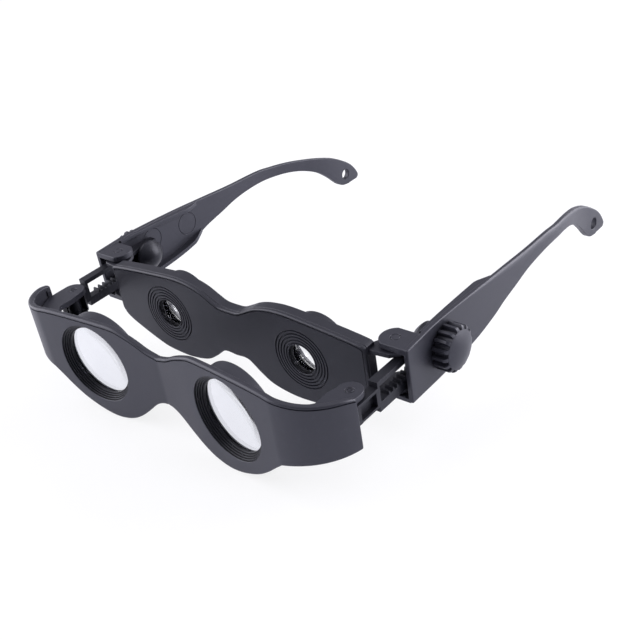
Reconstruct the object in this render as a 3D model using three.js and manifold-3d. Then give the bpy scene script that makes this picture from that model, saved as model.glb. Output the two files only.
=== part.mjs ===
import * as THREE from 'three';
import { mergeVertices } from 'three/addons/utils/BufferGeometryUtils.js';
import Module from 'manifold-3d';

const wasm = await Module();
wasm.setup();

// Frame: X to the wearer's left, Y from the objectives back to the ear tips, Z up.
// While the pieces are made, the origin is midway between the two objective centres.

// Whole object
const lensSpacing = 62;
const hingeSpacing = 127.3;
const frameDistance = 34.9;
const hingeSetback = 8.36;
const focusTravel = 23.3;
const fit = 0.3;
const overrun = 3;
const moulding = { color: 0x2b2b30, roughness: 0.5, metalness: 0 };
const clearGlass = { color: 0xe9e9f4, roughness: 0.05, metalness: 0 };

const lensX = lensSpacing / 2;
const hingeX = hingeSpacing / 2;
const hingeY = frameDistance + hingeSetback;
const frontPinY = hingeY - focusTravel;

// Front frame: a shallow V of two plates with a wing curving back at each side
const frontFlat = 53;
const frontWall = 2.2;
const frontChamfer = 0.7;
const frontTop = 17.4;
const frontBottom = 20.9;
const veeAngle = THREE.MathUtils.degToRad(5.2);
const wingBottom = 5.2;
const wingLip = 1.1;
const wingLipHeight = 2.6;
const frontTopShares = [
  [0, 0.6], [0.09, 0.685], [0.165, 0.8], [0.245, 0.9], [0.33, 0.975], [0.45, 0.995], [0.57, 1],
  [0.81, 0.997], [0.93, 0.985], [1, 0.965],
];
const frontBottomShares = [
  [0, 0.373], [0.05, 0.39], [0.11, 0.465], [0.2, 0.66], [0.275, 0.81], [0.35, 0.92], [0.42, 0.976],
  [0.51, 1], [0.6, 0.966], [0.68, 0.9], [0.775, 0.79], [0.865, 0.63], [0.945, 0.455], [1, 0.34],
];
const wingTopShares = [[0, 0.965], [0.35, 0.89], [0.6, 0.845], [0.85, 0.795], [1, 0.73]];
const wingPlanShares = [[0, 0], [0.53, 0.03], [0.9, 0.46], [1, 1]];

// Objective sockets, stepped bezels, lenses and their retaining rings
const bezelRadius = 14.75;
const bezelStep = 0.5;
const bezelStepDepth = 0.55;
const bezelSteps = 4;
const bezelLip = 0.9;
const barrelCover = 1.55;
const barrelWall = 1.6;
const barrelDepth = 7.2;
const lensEdge = 1.5;
const lensFrontRise = 1.1;
const lensBackRise = 0.7;
const retainerWall = 1.4;

// Lugs of the front frame and the pins through them
const lugReach = 4.2;
const lowerLugReach = 3;
const lugPlate = 2.05;
const lugTop = 9.47;
const lugBottom = -1.85;
const lugFlare = 2.2;
const lugRoot = 10.3;
const frontPinRadius = 1.05;

// Rear frame: a flat tray with two eyepiece barrels and a pair of hinge tongues at each end
const tongueSpan = 5.65;
const rearDepth = 5.1;
const rearPlate = 2;
const rearSkirt = 1.9;
const rearTop = 15.9;
const rearBottom = 16.6;
const rearTopShares = [
  [0, 0.61], [0.072, 0.63], [0.136, 0.735], [0.215, 0.874], [0.307, 0.962], [0.43, 1], [0.62, 0.956],
  [0.83, 0.887], [0.985, 0.815], [1, 0.78],
];
const rearBottomShares = [
  [0, 0.494], [0.095, 0.494], [0.18, 0.71], [0.25, 0.867], [0.32, 0.946], [0.43, 1], [0.52, 0.998],
  [0.64, 0.95], [0.757, 0.813], [0.874, 0.639], [0.935, 0.536], [0.985, 0.404], [1, 0.29],
];
const slopeShare = 0.01;

// Eyepieces
const eyeBarrelRadius = 11.8;
const eyeBarrelWall = 1.3;
const eyeBarrelDepth = 11.3;
const funnelMouth = 5.45;
const funnelThroat = 5.1;
const funnelDepth = 2.1;
const funnelWall = 1.2;
const grooveOuter = 10.75;
const groovePitch = 1.15;
const grooveWidth = 0.24;
const grooveCount = 5;
const eyeLensEdge = 5.6;
const eyeLensFrontHollow = 0.2;
const eyeLensBackHollow = 1.2;
const eyeRetainer = 1.2;

// Hinges: tongues of the rear frame between the ears of each temple
const tonguePlate = 1.6;
const tongueReach = 5;
const tongueFront = 1.6;
const tongueRake = 1;
const tongueTurn = THREE.MathUtils.degToRad(36);
const earReach = 5.2;
const earHalf = 4.72;
const earTurn = THREE.MathUtils.degToRad(66);
const upperEar = 2.1;
const lowerEar = 1.55;
const hingePinRadius = 1.3;

// Temples
const armLength = 135.9;
const templeOffset = 7.74;
const templeWall = 1.8;
const armChamfer = 0.45;
const armTop = 14.4;
const armDrop = 16.2;
const tipRadius = 1.8;
const tipShoulder = 20;
const tipTurn = THREE.MathUtils.degToRad(57);
const tipHole = 2.3;
const tipHoleSetback = 1.7;
const tipHoleRise = 5.3;
const armPlanShares = [
  [0, 1], [0.08, 0.96], [0.16, 0.935], [0.35, 0.9], [0.55, 0.84], [0.64, 0.78], [0.7, 0.68],
  [0.755, 0.51], [0.81, 0.3], [0.87, 0.08], [0.93, -0.05], [1, -0.1],
];
const armTopShares = [
  [0, 0.958], [0.06, 0.985], [0.11, 1], [0.17, 0.98], [0.285, 0.917], [0.4, 0.833], [0.515, 0.743],
  [0.64, 0.681], [0.695, 0.604], [0.755, 0.514], [0.81, 0.396], [0.87, 0.236], [0.93, 0.02],
  [0.965, -0.16], [1, -0.38],
];
const armBottomShares = [
  [0, -0.327], [0.14, -0.34], [0.27, -0.265], [0.36, -0.117], [0.4, -0.012], [0.46, 0.1], [0.52, 0.216],
  [0.58, 0.272], [0.64, 0.284], [0.695, 0.247], [0.755, 0.167], [0.81, 0.03], [0.866, -0.21],
  [0.909, -0.51], [0.945, -0.82], [0.969, -0.95], [1, -1],
];
const armWallShares = [[0, 1], [0.34, 1], [0.5, 1.25], [1, 1.35]];
const flangePlate = 1.6;
const upperFlangeStart = 2.7;
const upperFlangeReach = 4.4;
const lowerFlangeReach = 4.9;
const flangeEnd = 45.5;
const flangeTaper = 6;
const flangeGap = 0.9;

// Racks, pinions and knobs
const knobSetback = 14;
const knobHeight = 4.7;
const rackPlaceShare = 0.9;
const rackWidth = 3.4;
const rackTop = 9.2;
const rackFoot = -1.3;
const rackRail = 1.8;
const rackNose = 1;
const rackStepY = 6.6;
const rackEye = 3.6;
const hookDrift = 0.5;
const rackTail = 2.2;
const rackHeelRun = 7;
const neckWindowShare = 0.5;
const pinionTeeth = 6;
const pinionRadius = 1.95;
const toothRise = 0.55;
const toothFall = 0.85;
const rackToothTip = 0.5;
const rackToothRoot = 1;
const pinionToothTip = 0.4;
const pinionToothRoot = 0.8;
const shaftRadius = 1.6;
const knobRadius = 7.7;
const knobRim = 4.7;
const knobDome = 2.2;
const flutes = 16;
const fluteDepth = 1.5;
const fluteShare = 0.46;
const fluteRun = 5.6;
const capRadius = 5.8;
const capRim = 1.2;
const capDome = 3.6;
const shaftSink = 3.4;

// Counts of facets
const roundSides = 30;
const grooveSides = 20;
const smallSides = 16;
const arcSteps = 4;
const plateSteps = 32;
const wingSteps = 6;
const armSteps = 28;

// Joining and cutting

function solidOf(geometry) {
  const bare = geometry.clone();
  bare.deleteAttribute('normal');
  bare.deleteAttribute('uv');
  const merged = mergeVertices(bare);
  const corners = merged.index.array;
  const kept = [];
  for (let i = 0; i < corners.length; i += 3) {
    const [a, b, c] = [corners[i], corners[i + 1], corners[i + 2]];
    if (a !== b && b !== c && c !== a) kept.push(a, b, c);
  }
  const places = new Float32Array(merged.attributes.position.array);
  if (signedVolume(places, kept) < 0) kept.reverse();
  return new wasm.Manifold(new wasm.Mesh({
    numProp: 3, vertProperties: places, triVerts: new Uint32Array(kept),
  }));
}

function signedVolume(places, corners) {
  const [a, b, c] = [new THREE.Vector3(), new THREE.Vector3(), new THREE.Vector3()];
  let total = 0;
  for (let i = 0; i < corners.length; i += 3) {
    a.fromArray(places, corners[i] * 3);
    b.fromArray(places, corners[i + 1] * 3);
    c.fromArray(places, corners[i + 2] * 3);
    total += a.dot(b.cross(c));
  }
  return total;
}

function geometryOf(solid) {
  const mesh = solid.getMesh();
  const geometry = new THREE.BufferGeometry();
  geometry.setAttribute('position', new THREE.BufferAttribute(new Float32Array(mesh.vertProperties), 3));
  geometry.setIndex(new THREE.BufferAttribute(new Uint32Array(mesh.triVerts), 1));
  geometry.computeVertexNormals();
  return geometry;
}

function join(first, ...others) {
  return others.reduce((whole, other) => whole.add(other), first);
}

function cut(first, ...others) {
  return others.reduce((whole, other) => whole.subtract(other), first);
}

// Curves and outlines

// Height of a smooth line through a table of [place share, size share] pairs
function along(table, share) {
  const last = table.length - 1;
  let i = 0;
  while (i < last - 1 && share > table[i + 1][0]) i += 1;
  const slope = (k) => {
    const before = table[Math.max(k - 1, 0)];
    const after = table[Math.min(k + 1, last)];
    return (after[1] - before[1]) / (after[0] - before[0]);
  };
  const [[x0, y0], [x1, y1]] = [table[i], table[i + 1]];
  const step = x1 - x0;
  const t = THREE.MathUtils.clamp((share - x0) / step, 0, 1);
  const blend = t * t * (3 - 2 * t);
  const lead = t * (1 - t) * (1 - t) * step * slope(i);
  const trail = t * t * (t - 1) * step * slope(i + 1);
  return y0 + (y1 - y0) * blend + lead + trail;
}

function outline(points) {
  return new THREE.Shape(points.map(([u, v]) => new THREE.Vector2(u, v)));
}

function arc(centreU, centreV, radius, from, to, steps) {
  const points = [];
  for (let i = 0; i <= steps; i += 1) {
    const angle = from + (to - from) * (i / steps);
    points.push([centreU + radius * Math.cos(angle), centreV + radius * Math.sin(angle)]);
  }
  return points;
}

// Solids from outlines: plan outlines rise along Z, front ones run along Y, side ones along X

function extrude(points, depth) {
  return new THREE.ExtrudeGeometry(outline(points), { depth, bevelEnabled: false });
}

function planPrism(points, low, high) {
  return solidOf(extrude(points, high - low).translate(0, 0, low));
}

function frontPrism(points, near, far) {
  return solidOf(extrude(points, far - near).rotateX(Math.PI / 2).translate(0, far, 0));
}

function sidePrism(points, inner, outer) {
  const turn = new THREE.Matrix4().makeBasis(
    new THREE.Vector3(0, 1, 0), new THREE.Vector3(0, 0, 1), new THREE.Vector3(1, 0, 0),
  );
  return solidOf(extrude(points, outer - inner).applyMatrix4(turn).translate(inner, 0, 0));
}

function turned(profile, sides = roundSides) {
  const points = profile.map(([radius, height]) => new THREE.Vector2(radius, height));
  return new THREE.LatheGeometry(points, sides);
}

function block(x0, x1, y0, y1, z0, z1) {
  const box = new THREE.BoxGeometry(x1 - x0, y1 - y0, z1 - z0);
  return solidOf(box.translate((x0 + x1) / 2, (y0 + y1) / 2, (z0 + z1) / 2));
}

function post(x, y, radius, low, high) {
  const round = new THREE.CylinderGeometry(radius, radius, high - low, smallSides);
  return solidOf(round.rotateX(Math.PI / 2).translate(x, y, (low + high) / 2));
}

function barAlongX(radius, inner, outer, y, z, sides = smallSides) {
  const round = new THREE.CylinderGeometry(radius, radius, outer - inner, sides);
  return solidOf(round.rotateZ(Math.PI / 2).translate((inner + outer) / 2, y, z));
}

// Closed body through a row of rings with equally many corners
function loft(rings) {
  const places = rings.flat(2);
  const count = rings[0].length;
  const corners = [];
  for (let k = 0; k + 1 < rings.length; k += 1) {
    for (let i = 0; i < count; i += 1) {
      const [a, b] = [k * count + i, k * count + ((i + 1) % count)];
      corners.push(a, b, b + count, a, b + count, a + count);
    }
  }
  const lastRing = (rings.length - 1) * count;
  for (let i = 1; i + 1 < count; i += 1) {
    corners.push(0, i + 1, i, lastRing, lastRing + i, lastRing + i + 1);
  }
  const geometry = new THREE.BufferGeometry();
  geometry.setAttribute('position', new THREE.BufferAttribute(new Float32Array(places), 3));
  geometry.setIndex(corners);
  return solidOf(geometry);
}

// Corners of a wall's section: an upright strip with its four long edges bevelled
function wallSection([x, y], [inX, inY], wall, low, high, bevel) {
  const at = (depth, height) => [x + inX * depth, y + inY * depth, height];
  return [
    at(0, low + bevel), at(bevel, low), at(wall - bevel, low), at(wall, low + bevel),
    at(wall, high - bevel), at(wall - bevel, high), at(bevel, high), at(0, high - bevel),
  ];
}

function mirrored(solid) {
  return solid.mirror([1, 0, 0]);
}

// Front frame

const wingEndX = hingeX + templeOffset - fit;
const wingEndY = hingeY - earHalf - focusTravel - 3 * fit;

function plateY(x) {
  return (lensX - Math.abs(x)) * Math.tan(veeAngle);
}

const wingCurve = (() => {
  const start = [frontFlat, plateY(frontFlat)];
  const span = [wingEndX - start[0], wingEndY - start[1]];
  const poles = wingPlanShares.map(
    ([u, v]) => new THREE.Vector2(start[0] + u * span[0], start[1] + v * span[1]),
  );
  return new THREE.CubicBezierCurve(...poles);
})();

function frontStations() {
  const stations = [];
  for (let i = -plateSteps / 2; i <= plateSteps / 2; i += 1) {
    const share = (2 * i) / plateSteps;
    const x = frontFlat * share;
    const lean = i === 0 ? 0 : Math.sign(i) * veeAngle;
    stations.push({
      at: [x, plateY(x)],
      inward: [Math.sin(lean), Math.cos(lean)],
      low: -frontBottom * along(frontBottomShares, Math.abs(share)),
      high: frontTop * along(frontTopShares, Math.abs(share)),
    });
  }
  const startLow = frontBottom * frontBottomShares.at(-1)[1];
  for (let i = 1; i <= wingSteps; i += 1) {
    const share = i / wingSteps;
    const place = wingCurve.getPoint(share);
    const run = wingCurve.getTangent(share);
    const low = -wingBottom - (startLow - wingBottom) * (1 - share) ** 4;
    const high = frontTop * along(wingTopShares, share);
    stations.push({ at: [place.x, place.y], inward: [-run.y, run.x], low, high });
    stations.unshift({ at: [-place.x, place.y], inward: [run.y, run.x], low, high });
  }
  return stations;
}

function frontShell() {
  const rings = frontStations().map(
    ({ at, inward, low, high }) => wallSection(at, inward, frontWall, low, high, frontChamfer),
  );
  return loft(rings);
}

// The two objective axes stand square to their plates
function seatObjective(geometry, side) {
  return geometry.rotateZ(-side * veeAngle).translate(side * lensX, 0, 0);
}

const lipDepth = bezelSteps * bezelStepDepth;
const barrelRadius = bezelRadius + barrelCover;
const lipRadius = bezelRadius - bezelSteps * bezelStep;
const seatRadius = barrelRadius - barrelWall;
const lensFront = lipDepth + bezelLip + fit;

function objectiveBarrel(side) {
  const [near, far] = [frontWall / 2, barrelDepth];
  const tube = [[0, near], [barrelRadius, near], [barrelRadius, far], [0, far]];
  return solidOf(seatObjective(turned(tube), side));
}

function objectiveBore(side) {
  const profile = [[0, -overrun], [bezelRadius, -overrun], [bezelRadius, bezelStepDepth]];
  for (let i = 1; i <= bezelSteps; i += 1) {
    const radius = bezelRadius - i * bezelStep;
    profile.push([radius, i * bezelStepDepth]);
    profile.push([radius, i < bezelSteps ? (i + 1) * bezelStepDepth : lipDepth + bezelLip]);
  }
  profile.push([seatRadius, lipDepth + bezelLip], [seatRadius, barrelDepth + overrun]);
  profile.push([0, barrelDepth + overrun]);
  return solidOf(seatObjective(turned(profile), side));
}

const rearHalfWidth = hingeX - tongueSpan;
const lugInner = rearHalfWidth + 2 * fit;

// A tongue from the inside of the wing back to a rounded tip about the pin
function lug(reach, low, high) {
  const wall = plateY(hingeX) + 2 * frontWall;
  const points = [
    [hingeX + reach, wingEndY - frontWall],
    ...arc(hingeX, frontPinY, reach, 0, Math.PI, 2 * arcSteps),
    [lugInner, frontPinY - reach],
    [lugInner, lugRoot],
    [lugInner - lugFlare, lugRoot - lugFlare],
    [lugInner - lugFlare, wall],
    [hingeX - frontWall, wall],
  ];
  return planPrism(points, low, high);
}

function frontHalf() {
  const lipTop = frontTop * wingTopShares.at(-1)[1] - frontChamfer;
  const lip = block(
    wingEndX - frontWall - wingLip, wingEndX - frontWall / 2, wingEndY - frontWall, wingEndY,
    lipTop - wingLipHeight, lipTop,
  );
  const upper = lug(lugReach, lugTop - lugPlate, lugTop);
  const lower = lug(lowerLugReach, lugBottom, lugBottom + lugPlate);
  return join(lip, upper, lower);
}

function frontFrame() {
  const half = frontHalf();
  const pinBore = post(hingeX, frontPinY, frontPinRadius + fit, lugBottom - overrun, lugTop + overrun);
  return cut(
    join(frontShell(), half, mirrored(half), objectiveBarrel(1), objectiveBarrel(-1)),
    objectiveBore(1), objectiveBore(-1), pinBore, mirrored(pinBore),
  );
}

function bulge(radius, from, rise, steps) {
  const points = [];
  for (let i = 0; i <= steps; i += 1) {
    const share = i / steps;
    points.push([radius * share, from + rise * (1 - share * share)]);
  }
  return points;
}

function objectiveLens(side) {
  const radius = seatRadius - fit;
  const front = bulge(radius, lensFront, -lensFrontRise, arcSteps);
  const back = bulge(radius, lensFront + lensEdge, lensBackRise, arcSteps).reverse();
  return solidOf(seatObjective(turned([...front, ...back], grooveSides), side));
}

function ringProfile(inner, outer, near, far) {
  return [[inner, near], [outer, near], [outer, far], [inner, far], [inner, near]];
}

function objectiveRing(side) {
  const near = lensFront + lensEdge + fit;
  const outer = seatRadius - fit;
  return solidOf(seatObjective(turned(ringProfile(outer - retainerWall, outer, near, barrelDepth)), side));
}

// Rear frame

// One loop round the rear frame, or round its hollow when drawn in by the skirt
function rearOutline(inset) {
  const half = rearHalfWidth - inset;
  const bevelShare = rearTopShares.at(-2)[0];
  const shares = [-1];
  for (let i = -plateSteps / 2; i <= plateSteps / 2; i += 1) shares.push((2 * i * bevelShare) / plateSteps);
  shares.push(1);
  const edge = (size, table) => shares.map((share) => {
    const height = size * along(table, Math.abs(share));
    const nearby = size * along(table, Math.abs(share) + slopeShare);
    const slope = (nearby - height) / (slopeShare * rearHalfWidth);
    return [half * share, height - inset * Math.hypot(1, slope)];
  });
  const top = edge(rearTop, rearTopShares);
  const bottom = edge(rearBottom, rearBottomShares);
  return [...bottom.map(([x, z]) => [x, -z]), ...top.reverse()];
}

function seatEyepiece(geometry, side) {
  return geometry.translate(side * lensX, frameDistance, 0);
}

function eyeSolid(profile, side, sides) {
  return solidOf(seatEyepiece(turned(profile, sides), side));
}

const eyeSeat = eyeBarrelRadius - eyeBarrelWall;

function eyepieceBarrel(side) {
  const near = rearPlate / 2;
  const [radius, far] = [eyeBarrelRadius, eyeBarrelDepth];
  return eyeSolid([[0, near], [radius, near], [radius, far], [0, far]], side);
}

function eyepieceBore(side) {
  const taper = (funnelMouth - funnelThroat) / funnelDepth;
  const mouth = funnelMouth + taper * overrun;
  const throat = funnelThroat - taper * overrun;
  const past = eyeBarrelDepth + overrun;
  const deep = funnelDepth + overrun;
  const funnel = eyeSolid([[0, -overrun], [mouth, -overrun], [throat, deep], [0, deep]], side);
  const hollow = [
    [0, funnelDepth], [funnelThroat + funnelWall, funnelDepth], [funnelMouth + funnelWall, rearPlate],
    [eyeSeat, rearPlate], [eyeSeat, past], [0, past],
  ];
  let bore = join(funnel, eyeSolid(hollow, side));
  for (let i = 0; i < grooveCount; i += 1) {
    const radius = grooveOuter - i * groovePitch;
    const [inner, outer] = [radius - 2 * grooveWidth, radius + 2 * grooveWidth];
    const groove = [
      [inner, -grooveWidth], [radius, grooveWidth], [outer, -grooveWidth], [inner, -grooveWidth],
    ];
    bore = join(bore, eyeSolid(groove, side, grooveSides));
  }
  return bore;
}

const upperTongueLow = lugTop + fit;
const lowerTongueHigh = lugBottom - fit;
const upperEarLow = upperTongueLow + tonguePlate + fit;
const lowerEarHigh = lowerTongueHigh - tonguePlate - fit;

function hingeBore() {
  const [low, high] = [lowerEarHigh - lowerEar - overrun, upperEarLow + upperEar + overrun];
  return post(hingeX, hingeY, hingePinRadius + fit, low, high);
}

function tongue(low, high) {
  const tip = arc(hingeX, hingeY, tongueReach, -tongueTurn, Math.PI - tongueTurn, 2 * arcSteps);
  const front = frameDistance + tongueFront;
  const back = frameDistance + rearDepth;
  const points = [
    [rearHalfWidth - rearSkirt, front], [hingeX + hingePinRadius, front + tongueRake], ...tip,
    [rearHalfWidth - rearSkirt, back],
  ];
  return planPrism(points, low, high);
}

function rearFrame() {
  const back = frameDistance + rearDepth;
  const tray = cut(
    frontPrism(rearOutline(0), frameDistance, back),
    frontPrism(rearOutline(rearSkirt), frameDistance + rearPlate, back + overrun),
  );
  const tongues = join(
    tongue(upperTongueLow, upperTongueLow + tonguePlate),
    tongue(lowerTongueHigh - tonguePlate, lowerTongueHigh),
  );
  const bore = hingeBore();
  return cut(
    join(tray, tongues, mirrored(tongues), eyepieceBarrel(1), eyepieceBarrel(-1)),
    eyepieceBore(1), eyepieceBore(-1), bore, mirrored(bore),
  );
}

const eyeLensFront = funnelDepth + fit;

function eyepieceLens(side) {
  const radius = eyeSeat - fit;
  const front = bulge(radius, eyeLensFront, eyeLensFrontHollow, arcSteps);
  const back = bulge(radius, eyeLensFront + eyeLensEdge, -eyeLensBackHollow, arcSteps).reverse();
  return eyeSolid([...front, ...back], side, grooveSides);
}

function eyepieceRing(side) {
  const near = eyeLensFront + eyeLensEdge + fit;
  const outer = eyeSeat - fit;
  return eyeSolid(ringProfile(outer - eyeRetainer, outer, near, near + eyeRetainer), side);
}

// Temples, made for the wearer's left and mirrored for the right

const armFront = hingeY - earHalf;

function armAt(y) {
  const share = (y - armFront) / armLength;
  return {
    outer: hingeX + templeOffset * along(armPlanShares, share),
    wall: templeWall * along(armWallShares, share),
    low: armDrop * along(armBottomShares, share),
    high: armTop * along(armTopShares, share),
  };
}

function armWall() {
  const rings = [];
  for (let i = 0; i <= armSteps; i += 1) {
    const y = armFront + (armLength * i) / armSteps;
    const { outer, wall, low, high } = armAt(y);
    rings.push(wallSection([outer, y], [-1, 0], wall, low, high, armChamfer));
  }
  return loft(rings);
}

// The tip's back rounds down in a wide arc, which a small one at the heel carries round to the foot
function earTip() {
  const y = armFront + armLength;
  const { outer, wall, low, high } = armAt(y);
  const middleY = y - tipShoulder * Math.cos(tipTurn);
  const middleZ = high - tipShoulder * Math.sin(tipTurn);
  const span = tipShoulder - tipRadius;
  const heelTurn = Math.asin((low + tipRadius - middleZ) / span);
  const heelY = middleY + span * Math.cos(heelTurn);
  const back = arc(middleY, middleZ, tipShoulder, tipTurn, heelTurn, arcSteps);
  const heel = arc(heelY, low + tipRadius, tipRadius, heelTurn, -Math.PI / 2, arcSteps);
  const front = [[y - armChamfer, low], [y - armChamfer, high]];
  const tip = sidePrism([...front, ...back, ...heel.slice(1)], outer - wall, outer);
  const [holeY, holeZ] = [y - tipHoleSetback, low + tipHoleRise];
  return { tip, hole: barAlongX(tipHole, outer - wall - overrun, outer + overrun, holeY, holeZ) };
}

// A ledge from the wall towards the other temple, tapering away at its rear end
function flange(startReach, endReach, atTop) {
  const front = hingeY + earHalf + flangeGap;
  const back = hingeY + flangeEnd;
  const steps = arcSteps;
  const rings = [];
  for (let i = 0; i <= steps + 1; i += 1) {
    const y = i > steps ? back : front + ((back - flangeTaper - front) * i) / steps;
    const { outer, wall, low, high } = armAt(y);
    const reach = startReach + ((endReach - startReach) * i) / steps;
    const inner = outer - (i > steps ? wall + fit : reach);
    const base = atTop ? high - flangePlate - fit : low;
    const root = outer - wall / 2;
    const over = base + flangePlate;
    rings.push([[inner, y, base], [root, y, base], [root, y, over], [inner, y, over]]);
  }
  return loft(rings);
}

function ear(low, high) {
  const tip = arc(hingeX, hingeY, earReach, Math.PI - earTurn, Math.PI + earTurn, 2 * arcSteps);
  const root = armAt(hingeY).outer - templeWall / 2;
  const points = [[root, hingeY + earHalf], ...tip, [root, hingeY - earHalf]];
  return planPrism(points, low, high);
}

const knobY = hingeY + knobSetback;
const rackOuter = hingeX + templeOffset * rackPlaceShare - templeWall - fit;
const rackInner = rackOuter - rackWidth;

function temple() {
  const { tip, hole } = earTip();
  const upper = ear(upperEarLow, upperEarLow + upperEar);
  const lower = ear(lowerEarHigh - lowerEar, lowerEarHigh);
  const flanges = join(
    flange(upperFlangeStart, upperFlangeReach, true),
    flange(lowerFlangeReach, lowerFlangeReach, false),
  );
  const shaftHole = barAlongX(shaftRadius + fit, hingeX, hingeX + 2 * templeOffset, knobY, knobHeight);
  return cut(join(armWall(), tip, upper, lower, flanges), hole, hingeBore(), shaftHole);
}

// Racks

const toothPitch = (2 * Math.PI * pinionRadius) / pinionTeeth;
const pinionTip = pinionRadius + toothRise;
const slotRoot = knobHeight - pinionRadius - toothFall;
const slotTop = knobHeight + pinionTip + fit;
const slotBack = knobY + pinionTip + fit;
const rackStep = frontPinY + rackStepY;
const rackBack = slotBack + rackTail;
const slotFront = Math.min(rackStep + rackNose, knobY - pinionTip - fit - focusTravel);
const neckTop = lugTop - lugPlate - fit;
const neckFoot = lugBottom + lugPlate + fit;

function rackTeeth() {
  const tip = slotRoot + toothFall + toothRise - fit;
  const count = Math.floor((slotBack - slotFront) / toothPitch);
  const [near, far] = [slotFront - fit, slotBack + fit];
  const points = [[near, slotRoot - fit], [far, slotRoot - fit], [far, slotRoot]];
  for (let i = 0; i < count; i += 1) {
    const centre = knobY + toothPitch * (1.5 - i);
    if (centre + rackToothRoot > slotBack || centre - rackToothRoot < slotFront) continue;
    points.push([centre + rackToothRoot / 2, slotRoot], [centre + rackToothTip / 2, tip]);
    points.push([centre - rackToothTip / 2, tip], [centre - rackToothRoot / 2, slotRoot]);
  }
  points.push([near, slotRoot]);
  return sidePrism(points, rackInner, rackOuter);
}

// The heel rises at the rear, where the lower flange is under the rack once it is drawn back
function rackBar() {
  const under = armAt(rackBack + focusTravel).low + flangePlate + fit;
  const heel = Math.max(rackFoot, under);
  const points = [
    [rackStep, rackFoot], [rackBack - rackHeelRun, rackFoot], [rackBack, heel],
    [rackBack, rackTop], [rackStep, rackTop],
  ];
  return sidePrism(points, rackInner, rackOuter);
}

function rack() {
  const bar = rackBar();
  const slot = block(rackInner - overrun, rackOuter + overrun, slotFront, slotBack, slotRoot, slotTop);
  const neck = block(rackInner, rackOuter, frontPinY - rackEye, rackStep + fit, neckFoot, neckTop);
  const window = block(
    rackOuter - rackWidth * neckWindowShare, rackOuter + overrun, frontPinY - rackEye + rackRail,
    rackStep - rackRail / 2, neckFoot + rackRail / 2, neckTop - rackRail / 2,
  );
  const eye = post(hingeX, frontPinY, rackEye, neckFoot, neckTop);
  const pinRoom = frontPinRadius + fit;
  const mouth = block(
    hingeX - rackEye - overrun, hingeX, frontPinY - pinRoom, frontPinY + pinRoom + hookDrift,
    neckFoot - overrun, neckTop + overrun,
  );
  const bore = post(hingeX, frontPinY, pinRoom, neckFoot - overrun, neckTop + overrun);
  return join(cut(join(bar, neck, eye), slot, window, mouth, bore), rackTeeth());
}

// Pinions and knobs

const knobFoot = armAt(knobY).outer + fit;
const capOuter = rackInner - fit;

function pinion() {
  const toothAngle = (2 * Math.PI) / pinionTeeth;
  const root = slotRoot + toothFall + toothRise;
  const rootRadius = knobHeight - root;
  const points = [];
  for (let i = 0; i < pinionTeeth; i += 1) {
    const centre = -Math.PI / 2 + i * toothAngle;
    const place = (radius, half) => {
      const angle = centre + Math.asin(half / radius);
      return [knobY + radius * Math.cos(angle), knobHeight + radius * Math.sin(angle)];
    };
    points.push(place(rootRadius, -pinionToothRoot / 2), place(pinionTip, -pinionToothTip / 2));
    points.push(place(pinionTip, pinionToothTip / 2), place(rootRadius, pinionToothRoot / 2));
  }
  const teeth = sidePrism(points, rackInner, rackOuter);
  const outerShaft = barAlongX(shaftRadius, rackOuter, knobFoot + shaftSink, knobY, knobHeight);
  const innerShaft = barAlongX(shaftRadius, capOuter - capRim - fit, rackInner, knobY, knobHeight);
  return join(teeth, outerShaft, innerShaft);
}

// Turned about the knob's axis, heights counted outwards
function onKnobAxis(profile, foot, sides) {
  const turn = turned(profile, sides).rotateZ(-Math.PI / 2);
  return solidOf(turn.translate(foot, knobY, knobHeight));
}

function domeProfile(radius, base, rise, steps) {
  return bulge(radius, base, rise, steps).reverse();
}

function knob() {
  const bodyProfile = [[0, 0], [knobRadius, 0], ...domeProfile(knobRadius, knobRim, knobDome, arcSteps)];
  let whole = onKnobAxis(bodyProfile, knobFoot, roundSides);
  const reach = knobRadius + overrun;
  const halfGap = (Math.PI * knobRadius * fluteShare) / flutes;
  for (let i = 0; i < flutes; i += 1) {
    const gap = new THREE.BoxGeometry(fluteRun + overrun, halfGap * 2, reach);
    gap.translate((fluteRun - overrun) / 2, 0, knobRadius - fluteDepth + reach / 2);
    gap.rotateX((2 * Math.PI * (i + 1 / 2)) / flutes).translate(knobFoot, knobY, knobHeight);
    whole = cut(whole, solidOf(gap));
  }
  const [near, far] = [knobFoot - overrun, knobFoot + shaftSink + fit];
  const bore = barAlongX(shaftRadius + fit, near, far, knobY, knobHeight);
  return cut(whole, bore);
}

function innerCap() {
  const rounded = domeProfile(capRadius, capRim, capDome, arcSteps);
  const profile = [[0, 0], [capRadius, 0], ...rounded];
  const turn = turned(profile, roundSides).rotateZ(Math.PI / 2).translate(capOuter, knobY, knobHeight);
  const [deep, open] = [capOuter - capRim - 2 * fit, capOuter + overrun];
  const bore = barAlongX(shaftRadius + fit, deep, open, knobY, knobHeight);
  return cut(solidOf(turn), bore);
}

// Pins

function frontPin() {
  return post(hingeX, frontPinY, frontPinRadius, lugBottom, lugTop);
}

function upperHingePin() {
  return post(hingeX, hingeY, hingePinRadius, upperTongueLow + fit / 2, upperEarLow + upperEar);
}

function lowerHingePin() {
  return post(hingeX, hingeY, hingePinRadius, lowerEarHigh - lowerEar, lowerTongueHigh - fit / 2);
}

// The whole object

const assembly = new THREE.Group();

function add(name, solid, finish = moulding) {
  const mesh = new THREE.Mesh(geometryOf(solid), new THREE.MeshStandardMaterial(finish));
  mesh.name = name;
  assembly.add(mesh);
}

add('front_frame', frontFrame());
add('rear_frame', rearFrame());

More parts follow.
